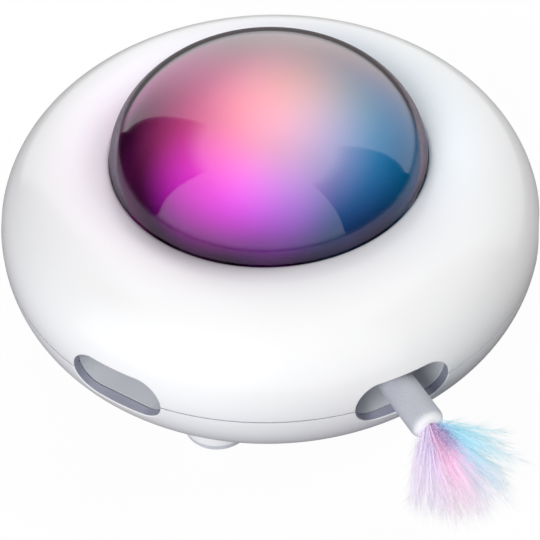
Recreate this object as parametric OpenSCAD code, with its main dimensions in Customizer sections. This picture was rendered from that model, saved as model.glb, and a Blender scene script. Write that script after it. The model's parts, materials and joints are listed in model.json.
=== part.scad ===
// Automatic cat teaser: a saucer casing with six paw slots and a smoked dome lit from inside.
// A motor turns a disc that carries a wand, and a fixed gear makes the wand reach out of each slot in turn.
// Millimetres. Z is up, the feet stand on z = 0, and the wand points to the front along -Y.

/* [Casing] */
// Diameter of the casing at its widest
case_d = 190; // [186:1:196]
// Radius of the rounded section of the lower shell
lower_arc = 32; // [31.5:0.1:33]
// Wall thickness of both shells
wall = 2.4; // [2.2:0.1:2.6]
// Width of the shadow line between the shells
seam_gap = 0.5; // [0.3:0.1:0.8]
// Distance of the case screws from the edge of the casing
case_screw_in = 11; // [10:0.5:13]

/* [Slots] */
// Width of each paw slot
slot_w = 34.7; // [33.6:0.1:36]
// Height of each paw slot
slot_h = 16.8; // [16.2:0.1:17.4]
// Depth of the collar round each slot
slot_lip = 4.4; // [3.6:0.1:4.8]
// Thickness of the collar round each slot
slot_rim = 1.8; // [1.4:0.1:2]
// Length of the guide sleeve behind each slot
sleeve_len = 17; // [10:0.5:18]
// Thickness of the guide sleeves
sleeve_wall = 1.4; // [1.2:0.1:1.6]

/* [Feet] */
// Height of the feet below the casing
foot_h = 3; // [2.6:0.1:4]
// Diameter of each foot
foot_d = 23; // [21:0.5:24]
// Radius at which the feet stand
foot_place_r = 69.5; // [69:0.5:71]

/* [Dome] */
// Diameter of the smoked dome
dome_d = 109.6; // [108:0.2:111]
// Height of the dome's lower ring above the mechanism frame
dome_lift = 8.4; // [8:0.1:10]
// Height of the dome above its lower ring
dome_h = 35.2; // [33:0.2:38]
// Wall thickness of the dome
dome_wall = 2.4; // [1.8:0.1:2.8]
// Play between the dome and the frosted light diffuser nested in it
diffuser_gap = 0.3; // [0.2:0.1:0.8]
// Wall thickness of the diffuser
diffuser_wall = 1.6; // [1.2:0.1:2]

/* [Lamps] */
// Thickness of the lamp board
led_board_t = 1.6; // [1.2:0.1:1.8]
// Side of each square lamp
led_side = 5; // [3.5:0.1:5.5]
// Height of each lamp
led_h = 1.5; // [1:0.1:2]

/* [Wand] */
// Diameter of the wand tube
wand_d = 11.6; // [11:0.1:12]
// Diameter of the bore of the wand tube
wand_bore_d = 8.4; // [7.6:0.1:9]
// How far the hard tip reaches beyond the casing
wand_out = 16; // [12:0.5:18]
// Length of the white end cap
tip_len = 7; // [6:0.5:9]
// Length of the soft tuft
tuft_len = 31; // [26:0.5:34]
// Diameter of the tuft at its fullest
tuft_d = 21; // [16:0.5:24]
// Diameter of the tuft's stem
tuft_stem_d = 4.4; // [3.6:0.1:5]
// How far the tuft droops, in degrees
tuft_droop = 31; // [20:1:36]

/* [Drive] */
// Size of the gear teeth
gear_module = 0.8; // [0.78:0.01:0.82]
// Width of the gears
gear_w = 4.5; // [4:0.1:4.8]
// Play between meshing teeth
gear_play = 0.14; // [0.1:0.01:0.2]
// Thickness of the turning disc
disc_t = 2.5; // [2.2:0.1:2.8]
// Diameter of the motor shaft
motor_shaft_d = 3; // [2.6:0.1:3.4]
// Diameter of the wand shaft
wand_shaft_d = 4; // [3.6:0.1:4.4]
// Diameter of the idler pin
idler_pin_d = 3; // [2.6:0.1:3.4]
// Height of the gear motor
motor_len = 24; // [22:0.5:26]
// Width of the gear motor
motor_w = 12; // [11.6:0.1:13]
// Depth of the gear motor
motor_d = 10; // [9.6:0.1:11]

/* [Power] */
// Length of the battery
battery_l = 50; // [44:1:54]
// Width of the battery
battery_w = 34; // [30:1:36]
// Height of the battery
battery_h = 8; // [7:0.2:9]
// Thickness of the main board
board_t = 1.6; // [1.2:0.1:2]
// Diameter of the power button
button_d = 12; // [10:0.2:13]
// How far the power button travels
button_travel = 0.8; // [0.5:0.1:1]

/* [Fits] */
// Radial play of parts that turn or slide
running_fit = 0.05; // [0.02:0.01:0.1]
// Radial play of parts dropped into a seat
seat_gap = 0.2; // [0.1:0.05:0.3]
// Play along the shafts
end_play = 0.4; // [0.3:0.1:0.6]

/* [Hidden] */
$fn = 96;
cut_far = 10;
slot_count = 6;
sun_teeth = 18;
idler_teeth = 15;
wand_teeth = 15;
pressure_angle = 25;
case_r = case_d / 2;
upper_lift = 2.2;
lower_lift = 0.8;
flat_cut = 0.2;
lower_c = case_r - lower_arc;
seam_z = foot_h + lower_arc - lower_lift - flat_cut;
upper_cz = seam_z + upper_lift;
lower_cz = seam_z + lower_lift;
floor_top = foot_h + wall;
slot_z = seam_z + 0.6;

// Wand layer and drive stack
wand_z = slot_z;
wand_r = wand_d / 2;
tray_t = 2;
tray_top = slot_z - slot_h / 2 - 0.75;
tray_z = tray_top - tray_t;
tray_r = case_r - slot_lip - 1.1;
sleeve_far = case_r - slot_lip - 0.8;
sleeve_near = sleeve_far - sleeve_len;
hub_r = 7;
hub_z = wand_z - wand_r;
hub_top = wand_z + 6.6;
bush_z = hub_top + end_play;
bush_r = wand_shaft_d / 2 + 1.5;
bush_flange_t = 0.6;
disc_lift = 8.9;
disc_z = wand_z + disc_lift;
disc_top = disc_z + disc_t;
gear_z = disc_top + bush_flange_t + end_play;
gear_top = gear_z + gear_w;
frame_t = 2.5;
frame_z = gear_top + 1.5;
frame_top = frame_z + frame_t;
sun_r = gear_module * sun_teeth / 2;
idler_r = gear_module * idler_teeth / 2;
wand_gear_r = gear_module * wand_teeth / 2;
idler_place = sun_r + idler_r;
wand_place = idler_place + idler_r + wand_gear_r;
disc_r = wand_place + wand_gear_r + 2.8;
reach = case_r + wand_out;
tube_start = wand_place + hub_r + 1;
tube_end = reach - tip_len;
gearbox_h = 9;
shaft_grip = 4;
sun_neck_r = 5;
sun_bore_r = motor_shaft_d / 2 + 0.6;
clamp_t = 1.6;
clamp_foot_t = 1.8;
clamp_screw_len = 4;
clamp_screw_x = motor_w / 2 + 4.2;
clamp_reach_x = clamp_screw_x + 3.2;
clamp_reach_y = motor_d / 2 - 1;
peg_len = 24;
shaft_bore = 8;
wand_head_r = 3.4;
clip_slit = 1.6;
terminal_x = 3.6;
terminal_t = 0.5;

// Dome seat, with the upper shell rounded from the edge of the casing to the ring of the dome
dome_r = dome_d / 2;
well_r = dome_r + seat_gap;
ring_z = frame_top + dome_lift;
ring_sink = 0.5;
rim_run = case_r - dome_r;
rim_rise = ring_z + ring_sink - upper_cz;
upper_arc = (rim_run * rim_run + rim_rise * rim_rise) / (2 * rim_run);
upper_c = case_r - upper_arc;
ledge_top = ring_z - 4.9;
ledge_t = 2;
ledge_z = ledge_top - ledge_t;
frame_r = well_r - 3.5;
frame_screw_r = frame_r - 3.1;
ledge_r = frame_screw_r - 4.4;
diffuser_r = dome_r - dome_wall - diffuser_gap;
diffuser_h = dome_h - dome_wall - diffuser_gap;

// Fixings
case_screw_az = [90, 210, 330];
case_screw_r = case_r - case_screw_in;
case_screw_deep = 16;
case_screw_grip = 10;
case_boss_r = 4;
tray_boss_gap = 0.6;
post_az = [90, 210, 330];
post_r = 60;
front_foot_az = 43;
rear_foot_az = 137;
foot_az = [-front_foot_az, front_foot_az, rear_foot_az, -rear_foot_az];
foot_pad_r = foot_d / 2 + 0.5;
foot_pad_h = 5.5;
foot_stem_r = 2.5;
foot_stem_len = 3.7;
foot_hole_deep = 4;
foot_edge = 0.6;
screw_r = 1.1;
small_head_r = 2.1;
small_head_h = 1.3;
frame_hole_r = 6;
tray_screw_deep = 5;
pilot_deep = 7;
led_board_r = ledge_r - 2;
led_board_hole = sqrt(clamp_reach_x * clamp_reach_x + clamp_reach_y * clamp_reach_y) + 0.6;
led_pillar_r = led_board_r - 5;
led_ring_in = 14;
led_ring_r = led_board_r - led_ring_in;
led_count = 8;
led_z = frame_top + 1.5;

// Power parts at the rear, with the button as far out as the flat floor and the rear foot let it be
rear_az = 150;
board_w = 26;
board_in = 46;
board_out = lower_c + sqrt(pow(lower_arc - wall, 2) - pow(lower_cz - tray_z + 3 + board_t, 2)) - 2;
board_z = tray_z - 3 - board_t;
board_screw_x = 10;
board_screw_edge = 4;
board_screw_back = 12;
board_pilot = 5;
board_screw_y = [board_in + board_screw_edge, board_out - board_screw_back];
usb_w = 9;
usb_h = 3.3;
usb_len = 7.3;
usb_tongue_w = 6.6;
usb_tongue_t = 0.7;
usb_tongue_len = 8;
usb_z = board_z - usb_h;
usb_out = board_out + 2;
button_r = button_d / 2;
button_flange = 1.2;
button_floor_gap = 0.8;
button_foot_gap = 0.9;
button_turn = rear_az - rear_foot_az;
button_clear = foot_pad_r + button_r + button_flange + button_foot_gap;
button_by_floor = lower_c - button_r - button_flange - button_floor_gap;
button_by_foot = foot_place_r * cos(button_turn)
  - sqrt(pow(button_clear, 2) - pow(foot_place_r * sin(button_turn), 2));
button_place = min(button_by_floor, button_by_foot);
switch_h = 3.5;
switch_z = board_z - switch_h;
plunger_r = 1.75;
stem_r = 2.4;
stem_top = switch_z - button_travel - 0.2;
strap_w = 10;
strap_t = 1.4;
strap_foot = 9;
strap_lift = 5;
strap_wing = 9.6;
strap_screw_len = 4.5;
strap_screw_out = 5.5;
strap_screw_y = battery_w / 2 + strap_screw_out;

upper_shell();
lower_shell();
dome_lens();
light_diffuser();
led_board();
leds();
led_screws();
mechanism_frame();
frame_screws();
gear_motor();
motor_clamp();
clamp_screws();
sun_gear();
motor_shaft();
turntable();
hub_screw();
idler_gear();
idler_pin();
wand_gear();
wand_shaft();
wand_bush();
shaft_clip();
wand_arm();
wand_screw();
wand_tube();
wand_tip();
feather_tuft();
floor_tray();
tray_screws();
battery();
battery_strap();
strap_screws();
main_board();
board_screws();
usb_socket();
tact_switch();
switch_plunger();
power_button();
foot(-front_foot_az);  // foot_front_left
foot(front_foot_az);  // foot_front_right
foot(-rear_foot_az);  // foot_rear_left
foot(rear_foot_az);  // foot_rear_right
case_screws();

// Turns its children from the front (-Y) towards +X
module at_az(az) {
  rotate([0, 0, az]) children();
}

// Places its children at a radius and an angle from the front
module at_polar(az, r, z) {
  rotate([0, 0, az]) translate([0, -r, z]) children();
}

// A cylinder lying along -Y, starting at the given distance from the centre
module along_front(start, len, r) {
  translate([0, -start, wand_z]) rotate([90, 0, 0]) cylinder(h = len, r = r);
}

// A bar with rounded ends, lying across the front between two distances from the centre
module slot_bar(w, h, z, near, far) {
  straight = w - h;
  translate([-straight / 2, -far, z - h / 2]) cube([straight, far - near, h]);
  for (side = [-1, 1])
    translate([side * straight / 2, -near, z]) rotate([90, 0, 0]) cylinder(h = far - near, r = h / 2);
}

// A pan head screw pointing up, with the underside of its head at z = 0
module screw_up(head_r, head_h, shank_r, shank_len) {
  translate([0, 0, -head_h]) cylinder(h = head_h, r = head_r);
  cylinder(h = shank_len, r = shank_r);
}

// A pan head screw pointing down, with the underside of its head at z = 0
module screw_down(head_r, head_h, shank_r, shank_len) {
  cylinder(h = head_h, r = head_r);
  translate([0, 0, -shank_len]) cylinder(h = shank_len, r = shank_r);
}

// Angle in degrees whose tangent exceeds it by the involute value
function inv(a) = tan(a) * 180 / PI - a;

// Half the angle a tooth takes up at a given radius
function tooth_half(teeth, pitch_r, r) =
  let (base = pitch_r * cos(pressure_angle))
  let (thick = PI * gear_module / 2 - gear_play)
  thick / (2 * pitch_r) * 180 / PI + inv(pressure_angle) - inv(acos(min(1, base / r)));

// Point at a radius and an angle
function polar(r, a) = r * [cos(a), sin(a)];

// Outline of a toothed wheel with a tooth centred on the given angle
module gear_outline(teeth, first) {
  pitch_r = gear_module * teeth / 2;
  base = pitch_r * cos(pressure_angle);
  tip = pitch_r + 0.88 * gear_module;
  root = pitch_r - 1.15 * gear_module;
  flank = [for (i = [0 : 4]) max(base, root + 0.02) + (tip - max(base, root + 0.02)) * i / 4];
  polygon([
    for (k = [0 : teeth - 1])
      let (mid = first + k * 360 / teeth)
      let (foot_half = tooth_half(teeth, pitch_r, base) + 0.6)
      each concat(
        [polar(root, mid - foot_half)],
        [for (r = flank) polar(r, mid - tooth_half(teeth, pitch_r, r))],
        [for (i = [4 : -1 : 0]) polar(flank[i], mid + tooth_half(teeth, pitch_r, flank[i]))],
        [polar(root, mid + foot_half)]
      )
  ]);
}

// Solid ring of the upper shell, shrunk by the given amount, down to the seam
module upper_ring(shrink) {
  rotate_extrude()
    intersection() {
      translate([upper_c, upper_cz]) circle(r = upper_arc - shrink);
      translate([well_r, seam_z]) square([case_r, upper_arc * 2]);
    }
}

// Section of the upper shell with the seat for the dome
module upper_section() {
  difference() {
    intersection() {
      translate([upper_c, upper_cz]) circle(r = upper_arc);
      translate([well_r, seam_z]) square([case_r, upper_arc * 2]);
    }
    translate([upper_c, upper_cz]) circle(r = upper_arc - wall);
  }
  translate([well_r, ledge_z]) square([2, ring_z - ledge_z - 0.6]);
  translate([ledge_r, ledge_z]) square([well_r - ledge_r + 1, ledge_t]);
}

// Upper shell with the slot collars, the screw bosses and the seat for the dome
module upper_shell() {
  color("#f4f4f6")
    difference() {
      union() {
        rotate_extrude() upper_section();
        intersection() {
          union() {
            for (k = [0 : slot_count - 1])
              at_az(k * 360 / slot_count)
                slot_bar(slot_w + 2 * slot_rim, slot_h + 2 * slot_rim, slot_z, case_r - slot_lip, case_r);
            for (az = case_screw_az)
              at_polar(az, case_screw_r, seam_z) cylinder(h = upper_arc, r = 3.6);
          }
          upper_ring(wall / 2);
        }
        for (k = [0 : 3])
          at_polar(45 + 90 * k, frame_screw_r, frame_top) cylinder(h = ledge_z - frame_top + 0.5, r = 3);
      }
      for (k = [0 : slot_count - 1])
        at_az(k * 360 / slot_count)
          slot_bar(slot_w, slot_h, slot_z, case_r - slot_lip - 4, case_r + 4);
      for (az = case_screw_az)
        at_polar(az, case_screw_r, seam_z - 1) cylinder(h = case_screw_grip + 3, r = 1.3);
      for (k = [0 : 3])
        at_polar(45 + 90 * k, frame_screw_r, frame_top - 1) cylinder(h = 3.6, r = screw_r);
    }
}

// Section of the bowl of the lower shell, shrunk by the given amount
module lower_bowl(shrink) {
  difference() {
    union() {
      translate([lower_c, lower_cz]) circle(r = lower_arc - shrink);
      translate([0, foot_h + shrink - 1]) square([lower_c, lower_cz]);
    }
    translate([-1, foot_h + shrink - cut_far]) square([case_d, cut_far]);
    translate([-1, seam_z]) square([case_d, case_d]);
  }
}

// Lower shell with the slot collars, the screw bosses, the foot pads and the openings for the power parts
module lower_shell() {
  color("#f1f1f4")
    difference() {
      union() {
        rotate_extrude()
          difference() {
            lower_bowl(0);
            lower_bowl(wall);
            translate([case_r - seam_gap, seam_z - seam_gap]) square([cut_far, seam_gap + 1]);
          }
        intersection() {
          union() {
            for (k = [0 : slot_count - 1])
              at_az(k * 360 / slot_count)
                slot_bar(slot_w + 2 * slot_rim, slot_h + 2 * slot_rim, slot_z, case_r - slot_lip, case_r);
            for (az = case_screw_az)
              at_polar(az, case_screw_r, foot_h) cylinder(h = seam_z - foot_h, r = case_boss_r);
          }
          rotate_extrude() lower_bowl(wall / 2);
        }
        for (az = foot_az)
          at_polar(az, foot_place_r, foot_h) cylinder(h = foot_pad_h, r = foot_pad_r);
        for (az = post_az)
          at_polar(az, post_r, floor_top - 0.5) cylinder(h = tray_z - floor_top + 0.5, r = 3.2);
        for (side = [-1, 1])
          translate([0, side * strap_screw_y, floor_top - 0.5]) cylinder(h = strap_lift + 0.5, r = 3);
      }
      for (k = [0 : slot_count - 1])
        at_az(k * 360 / slot_count)
          slot_bar(slot_w, slot_h, slot_z, case_r - slot_lip - 4, case_r + 4);
      for (az = case_screw_az) {
        at_polar(az, case_screw_r, foot_h - 1) cylinder(h = seam_z - case_screw_deep - foot_h + 1, r = 3);
        at_polar(az, case_screw_r, foot_h) cylinder(h = seam_z, r = 1.5);
      }
      for (az = foot_az)
        at_polar(az, foot_place_r, foot_h - 1) cylinder(h = foot_hole_deep + 1, r = foot_stem_r);
      for (az = post_az)
        at_polar(az, post_r, tray_z - pilot_deep) cylinder(h = pilot_deep + 1, r = screw_r);
      for (side = [-1, 1])
        translate([0, side * strap_screw_y, floor_top + 1]) cylinder(h = strap_lift + 1, r = screw_r);
      at_polar(rear_az, button_place, foot_h - 1) cylinder(h = wall + 2, r = button_r + running_fit);
      at_az(rear_az)
        slot_bar(usb_w + 0.5, usb_h + 0.5, usb_z + usb_h / 2, board_out - 6, case_r + 4);
    }
}

// Smoked dome: a short upright skirt under an elliptical crown
module dome_lens() {
  color("#5a4668", 0.6)
    rotate_extrude()
      polygon(concat(
        [[dome_r, ledge_top]],
        [for (a = [0 : 3 : 90]) [dome_r * cos(a), ring_z + dome_h * sin(a)]],
        [for (a = [90 : -3 : 0]) [(dome_r - dome_wall) * cos(a), ring_z + (dome_h - dome_wall) * sin(a)]],
        [[dome_r - dome_wall, ledge_top]]
      ));
}

// Frosted inner dome that spreads the light, nested in the smoked dome
module light_diffuser() {
  color("#f3e6f4")
    rotate_extrude()
      polygon(concat(
        [[diffuser_r, ledge_top]],
        [for (a = [0 : 3 : 90]) [diffuser_r * cos(a), ring_z + diffuser_h * sin(a)]],
        [for (a = [90 : -3 : 0])
          [(diffuser_r - diffuser_wall) * cos(a), ring_z + (diffuser_h - diffuser_wall) * sin(a)]],
        [[diffuser_r - diffuser_wall, ledge_top]]
      ));
}

// Ring shaped board that carries the lamps
module led_board() {
  color("#e9ece9")
    difference() {
      translate([0, 0, led_z]) cylinder(h = led_board_t, r = led_board_r);
      translate([0, 0, led_z - 1]) cylinder(h = led_board_t + 2, r = led_board_hole);
      for (k = [0 : 2])
        at_polar(60 + 120 * k, led_pillar_r, led_z - 1) cylinder(h = led_board_t + 2, r = screw_r);
    }
}

// Eight coloured lamps on the ring board
module leds() {
  color("#fffbe8")
    for (k = [0 : led_count - 1])
      at_polar(22.5 + k * 360 / led_count, led_ring_r, led_z + led_board_t)
        translate([-led_side / 2, -led_side / 2, 0]) cube([led_side, led_side, led_h]);
}

// Screws that hold the lamp board to the frame
module led_screws() {
  color("#9a9da3")
    for (k = [0 : 2])
      at_polar(60 + 120 * k, led_pillar_r, led_z + led_board_t)
        screw_down(small_head_r, small_head_h, screw_r, led_board_t + 2.4);
}

// Round plate that hangs under the dome seat and carries the motor, the lamps and the fixed gear
module mechanism_frame() {
  color("#c9ccd2")
    difference() {
      union() {
        translate([0, 0, frame_z]) cylinder(h = frame_t, r = frame_r);
        for (k = [0 : 2])
          at_polar(60 + 120 * k, led_pillar_r, frame_top - 0.5)
            cylinder(h = led_z - frame_top + 0.5, r = 2.8);
      }
      translate([0, 0, frame_z - 1]) cylinder(h = frame_t + 2, r = sun_neck_r);
      for (k = [0 : 3])
        at_polar(45 + 90 * k, frame_screw_r, frame_z - 1) cylinder(h = frame_t + 2, r = screw_r);
      for (k = [0 : 2])
        at_polar(60 + 120 * k, led_pillar_r, frame_z + 1) cylinder(h = frame_t + 3, r = screw_r);
      for (side = [-1, 1])
        translate([side * clamp_screw_x, 0, frame_z - 1]) cylinder(h = frame_t + 2, r = screw_r);
      for (k = [0 : 2])
        at_polar(120 * k, led_pillar_r, frame_z - 1) cylinder(h = frame_t + 2, r = frame_hole_r);
    }
}

// Screws that hold the frame under the dome seat
module frame_screws() {
  color("#9a9da3")
    for (k = [0 : 3])
      at_polar(45 + 90 * k, frame_screw_r, frame_z) screw_up(2.2, 1.4, screw_r, frame_t + 2.4);
}

// Small gear motor standing on the frame, gearbox below and motor above
module gear_motor() {
  color("#b9bcc4")
    difference() {
      union() {
        translate([-motor_w / 2, -motor_d / 2, frame_top]) cube([motor_w, motor_d, gearbox_h]);
        intersection() {
          translate([-motor_w / 2, -motor_d / 2, frame_top + gearbox_h - 0.2])
            cube([motor_w, motor_d, motor_len - gearbox_h + 0.2]);
          translate([0, 0, frame_top + gearbox_h - 0.2]) cylinder(h = motor_len, r = motor_w / 2 - 0.1);
        }
        translate([0, 0, frame_top + motor_len - 0.5]) cylinder(h = 1.6, r = 2.5);
        for (side = [-1, 1])
          translate([side * terminal_x - terminal_t / 2, -1, frame_top + motor_len - 0.5])
            cube([terminal_t, 2, 3]);
      }
      translate([0, 0, frame_top - 1]) cylinder(h = shaft_grip + 1.3, r = motor_shaft_d / 2 + running_fit);
    }
}

// Pair of brackets that hold the gearbox down on the frame
module motor_clamp() {
  color("#dfe1e6")
    difference() {
      union() {
        translate([-motor_w / 2 - clamp_t, -clamp_reach_y, frame_top])
          cube([motor_w + 2 * clamp_t, 2 * clamp_reach_y, gearbox_h + clamp_t]);
        translate([-clamp_reach_x, -clamp_reach_y, frame_top])
          cube([2 * clamp_reach_x, 2 * clamp_reach_y, clamp_foot_t]);
      }
      translate([-motor_w / 2, -motor_d / 2, frame_top - 1]) cube([motor_w, motor_d, gearbox_h + 1]);
      translate([0, 0, frame_top]) cylinder(h = motor_len, r = motor_w / 2 - 0.1);
      for (side = [-1, 1])
        translate([side * clamp_screw_x, 0, frame_top - 1]) cylinder(h = clamp_screw_len, r = screw_r);
    }
}

// Screws of the motor clamp
module clamp_screws() {
  color("#9a9da3")
    for (side = [-1, 1])
      translate([side * clamp_screw_x, 0, frame_top + clamp_foot_t])
        screw_down(small_head_r, small_head_h, screw_r, clamp_screw_len);
}

// Fixed gear under the frame, round the motor shaft
module sun_gear() {
  color("#e6c98a")
    difference() {
      union() {
        translate([0, 0, gear_z]) linear_extrude(height = gear_w) gear_outline(sun_teeth, -90);
        translate([0, 0, gear_top - 0.5]) cylinder(h = frame_z - gear_top + 0.5, r = sun_r - 1.2);
        translate([0, 0, frame_z - 0.5]) cylinder(h = frame_t + 0.5, r = sun_neck_r);
      }
      translate([0, 0, gear_z - 1]) cylinder(h = frame_top - gear_z + 2, r = sun_bore_r);
    }
}

// Output shaft of the gear motor
module motor_shaft() {
  color("#c3c6cc")
    difference() {
      translate([0, 0, disc_z]) cylinder(h = frame_top + shaft_grip - disc_z, r = motor_shaft_d / 2);
      translate([0, 0, disc_z - 1]) cylinder(h = 5, r = 0.8);
    }
}

// Turning disc with the hub, the idler boss and the sleeve for the wand shaft
module turntable() {
  color("#d9dbe0")
    difference() {
      union() {
        translate([0, 0, disc_z]) cylinder(h = disc_t, r = disc_r);
        translate([0, 0, disc_top - 0.5]) cylinder(h = 0.5 + bush_flange_t, r = 4);
        translate([0, -idler_place, disc_top - 0.5]) cylinder(h = 0.5 + bush_flange_t, r = 3);
        translate([0, -wand_place, bush_z]) cylinder(h = disc_z - bush_z + 0.5, r = bush_r + 1.6);
      }
      translate([0, 0, disc_z - 1]) cylinder(h = disc_t + 3, r = motor_shaft_d / 2);
      translate([0, -idler_place, disc_z - 1]) cylinder(h = disc_t + 3, r = idler_pin_d / 2);
      translate([0, -wand_place, bush_z - 1]) cylinder(h = disc_top - bush_z + 2, r = bush_r);
      for (az = [72, 144, 216, 288])
        at_polar(az, disc_r - 11, disc_z - 1) cylinder(h = disc_t + 2, r = 7);
    }
}

// Screw and washer that hold the disc on the motor shaft
module hub_screw() {
  color("#9a9da3")
    translate([0, 0, disc_z]) screw_up(3, 1.2, 0.8, 3.8);
}

// Gear between the fixed gear and the wand gear
module idler_gear() {
  color("#f0efe9")
    translate([0, -idler_place, gear_z])
      difference() {
        linear_extrude(height = gear_w) gear_outline(idler_teeth, 90 + 180 / idler_teeth);
        translate([0, 0, -1]) cylinder(h = gear_w + 2, r = idler_pin_d / 2 + running_fit);
      }
}

// Headed pin that the idler gear turns on
module idler_pin() {
  color("#c3c6cc")
    translate([0, -idler_place, 0]) {
      translate([0, 0, disc_z]) cylinder(h = gear_top + 0.3 - disc_z, r = idler_pin_d / 2);
      translate([0, 0, gear_top + 0.2]) cylinder(h = 0.8, r = idler_pin_d / 2 + 1.1);
    }
}

// Gear on top of the wand shaft
module wand_gear() {
  color("#f0efe9")
    translate([0, -wand_place, gear_z])
      difference() {
        linear_extrude(height = gear_w) gear_outline(wand_teeth, 90 + 180 / wand_teeth);
        translate([0, 0, -1]) cylinder(h = gear_w + 2, r = wand_shaft_d / 2);
      }
}

// Upright shaft of the wand
module wand_shaft() {
  color("#c3c6cc")
    translate([0, -wand_place, 0])
      difference() {
        translate([0, 0, hub_z]) cylinder(h = gear_top + 1 - hub_z, r = wand_shaft_d / 2);
        translate([0, 0, hub_z - 1]) cylinder(h = shaft_bore + 1, r = screw_r);
      }
}

// Flanged brass sleeve that the wand shaft turns in
module wand_bush() {
  color("#c9a860")
    translate([0, -wand_place, 0])
      difference() {
        union() {
          translate([0, 0, bush_z]) cylinder(h = disc_top - bush_z, r = bush_r);
          translate([0, 0, disc_top]) cylinder(h = bush_flange_t, r = bush_r + 1.2);
        }
        translate([0, 0, bush_z - 1])
          cylinder(h = disc_top - bush_z + 3, r = wand_shaft_d / 2 + running_fit);
      }
}

// Clip that keeps the wand gear on its shaft
module shaft_clip() {
  color("#8f949c")
    translate([0, -wand_place, gear_top])
      difference() {
        cylinder(h = 0.7, r = wand_shaft_d / 2 + 1.3);
        translate([0, 0, -1]) cylinder(h = 3, r = wand_shaft_d / 2);
        translate([-clip_slit / 2, 0, -1]) cube([clip_slit, cut_far, 3]);
      }
}

// Hub of the wand with the peg that carries the tube
module wand_arm() {
  color("#d5d7dc")
    difference() {
      union() {
        translate([0, -wand_place, hub_z]) cylinder(h = hub_top - hub_z, r = hub_r);
        along_front(wand_place + 3, peg_len, wand_bore_d / 2);
      }
      translate([0, -wand_place, hub_z - 1]) cylinder(h = hub_top - hub_z + 2, r = wand_shaft_d / 2);
    }
}

// Screw that holds the wand on its shaft
module wand_screw() {
  color("#9a9da3")
    translate([0, -wand_place, hub_z]) screw_up(wand_head_r, 1, screw_r, shaft_bore - 0.5);
}

// Grey tube of the wand
module wand_tube() {
  color("#c9ccd3")
    difference() {
      along_front(tube_start, tube_end - tube_start, wand_r);
      along_front(tube_start - 1, tube_end - tube_start + 2, wand_bore_d / 2);
    }
}

// White rounded end cap with the hole for the tuft
module wand_tip() {
  color("#fbfbfc")
    translate([0, -tube_end, wand_z]) rotate([90, 0, 0])
      rotate_extrude()
        polygon(concat(
          [[tuft_stem_d / 2, -6], [wand_bore_d / 2, -6], [wand_bore_d / 2, 0], [wand_r, 0]],
          [for (a = [0 : 9 : 90]) [wand_r - 3 + 3 * cos(a), tip_len - 3 + 3 * sin(a)]],
          [[tuft_stem_d / 2, tip_len]]
        ));
}

// Soft tuft: a stem in the end cap and a drooping fan
module feather_tuft() {
  color("#dcb9e6")
    union() {
      along_front(reach - 6, 7.5, tuft_stem_d / 2);
      translate([0, -reach - 1.6, wand_z]) rotate([90 + tuft_droop, 0, 0])
        rotate_extrude()
          polygon([
            [0, -0.8], [1.6, -0.8], [tuft_d * 0.2, tuft_len * 0.2], [tuft_d * 0.4, tuft_len * 0.5],
            [tuft_d / 2, tuft_len * 0.75], [tuft_d * 0.42, tuft_len * 0.92],
            [tuft_d * 0.2, tuft_len], [0, tuft_len]
          ]);
    }
}

// Tray that closes off the space the wand sweeps, with a sleeve that guides the wand into each slot
module floor_tray() {
  color("#a9adb6")
    difference() {
      union() {
        translate([0, 0, tray_z]) cylinder(h = tray_t, r = tray_r);
        for (k = [0 : slot_count - 1])
          at_az(k * 360 / slot_count)
            slot_bar(slot_w + 2 * sleeve_wall, slot_h + 2 * sleeve_wall, slot_z, sleeve_near, sleeve_far);
        for (x = [-board_screw_x, board_screw_x], y = board_screw_y)
          at_az(rear_az) translate([x, -y, board_z + board_t]) cylinder(h = 3.5, r = 2.6);
      }
      for (k = [0 : slot_count - 1])
        at_az(k * 360 / slot_count)
          slot_bar(slot_w, slot_h, slot_z, sleeve_near - 2, sleeve_far + 2);
      for (az = case_screw_az)
        at_polar(az, case_screw_r, tray_z - 1) cylinder(h = tray_t + 2, r = case_boss_r + tray_boss_gap);
      for (az = post_az) {
        at_polar(az, post_r, tray_z - 1) cylinder(h = tray_t + 2, r = screw_r);
        at_polar(az, post_r, tray_top - 1.2) cylinder(h = 1.2, r1 = screw_r, r2 = 2.3);
      }
      for (x = [-board_screw_x, board_screw_x], y = board_screw_y)
        at_az(rear_az) translate([x, -y, board_z]) cylinder(h = board_pilot, r = screw_r);
    }
}

// Flush screws that hold the tray on its posts
module tray_screws() {
  color("#9a9da3")
    for (az = post_az)
      at_polar(az, post_r, 0) {
        translate([0, 0, tray_top - 1.2]) cylinder(h = 1.2, r1 = screw_r, r2 = 2.3);
        translate([0, 0, tray_z - tray_screw_deep])
          cylinder(h = tray_screw_deep + tray_t - 1, r = screw_r);
      }
}

// Flat rechargeable battery on the floor of the casing
module battery() {
  color("#5f7fb0")
    translate([-battery_l / 2, -battery_w / 2, floor_top]) cube([battery_l, battery_w, battery_h]);
}

// Strap that holds the battery down
module battery_strap() {
  color("#e2e3e7")
    difference() {
      translate([-strap_w / 2, -battery_w / 2 - strap_foot, floor_top + strap_lift])
        cube([strap_w, battery_w + 2 * strap_foot, battery_h - strap_lift + strap_t]);
      translate([-strap_w / 2 - 1, -battery_w / 2, floor_top]) cube([strap_w + 2, battery_w, battery_h]);
      for (side = [-1, 1])
        translate([
          -strap_w,
          side * (battery_w / 2 + strap_t + strap_wing / 2) - strap_wing / 2,
          floor_top + strap_lift + strap_t
        ])
          cube([2 * strap_w, strap_wing, battery_h]);
      for (side = [-1, 1])
        translate([0, side * strap_screw_y, floor_top + strap_lift - 1])
          cylinder(h = strap_screw_len + 1.5, r = screw_r);
    }
}

// Screws of the battery strap
module strap_screws() {
  color("#9a9da3")
    for (side = [-1, 1])
      translate([0, side * strap_screw_y, floor_top + strap_lift + strap_t])
        screw_down(small_head_r, small_head_h, screw_r, strap_screw_len);
}

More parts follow.
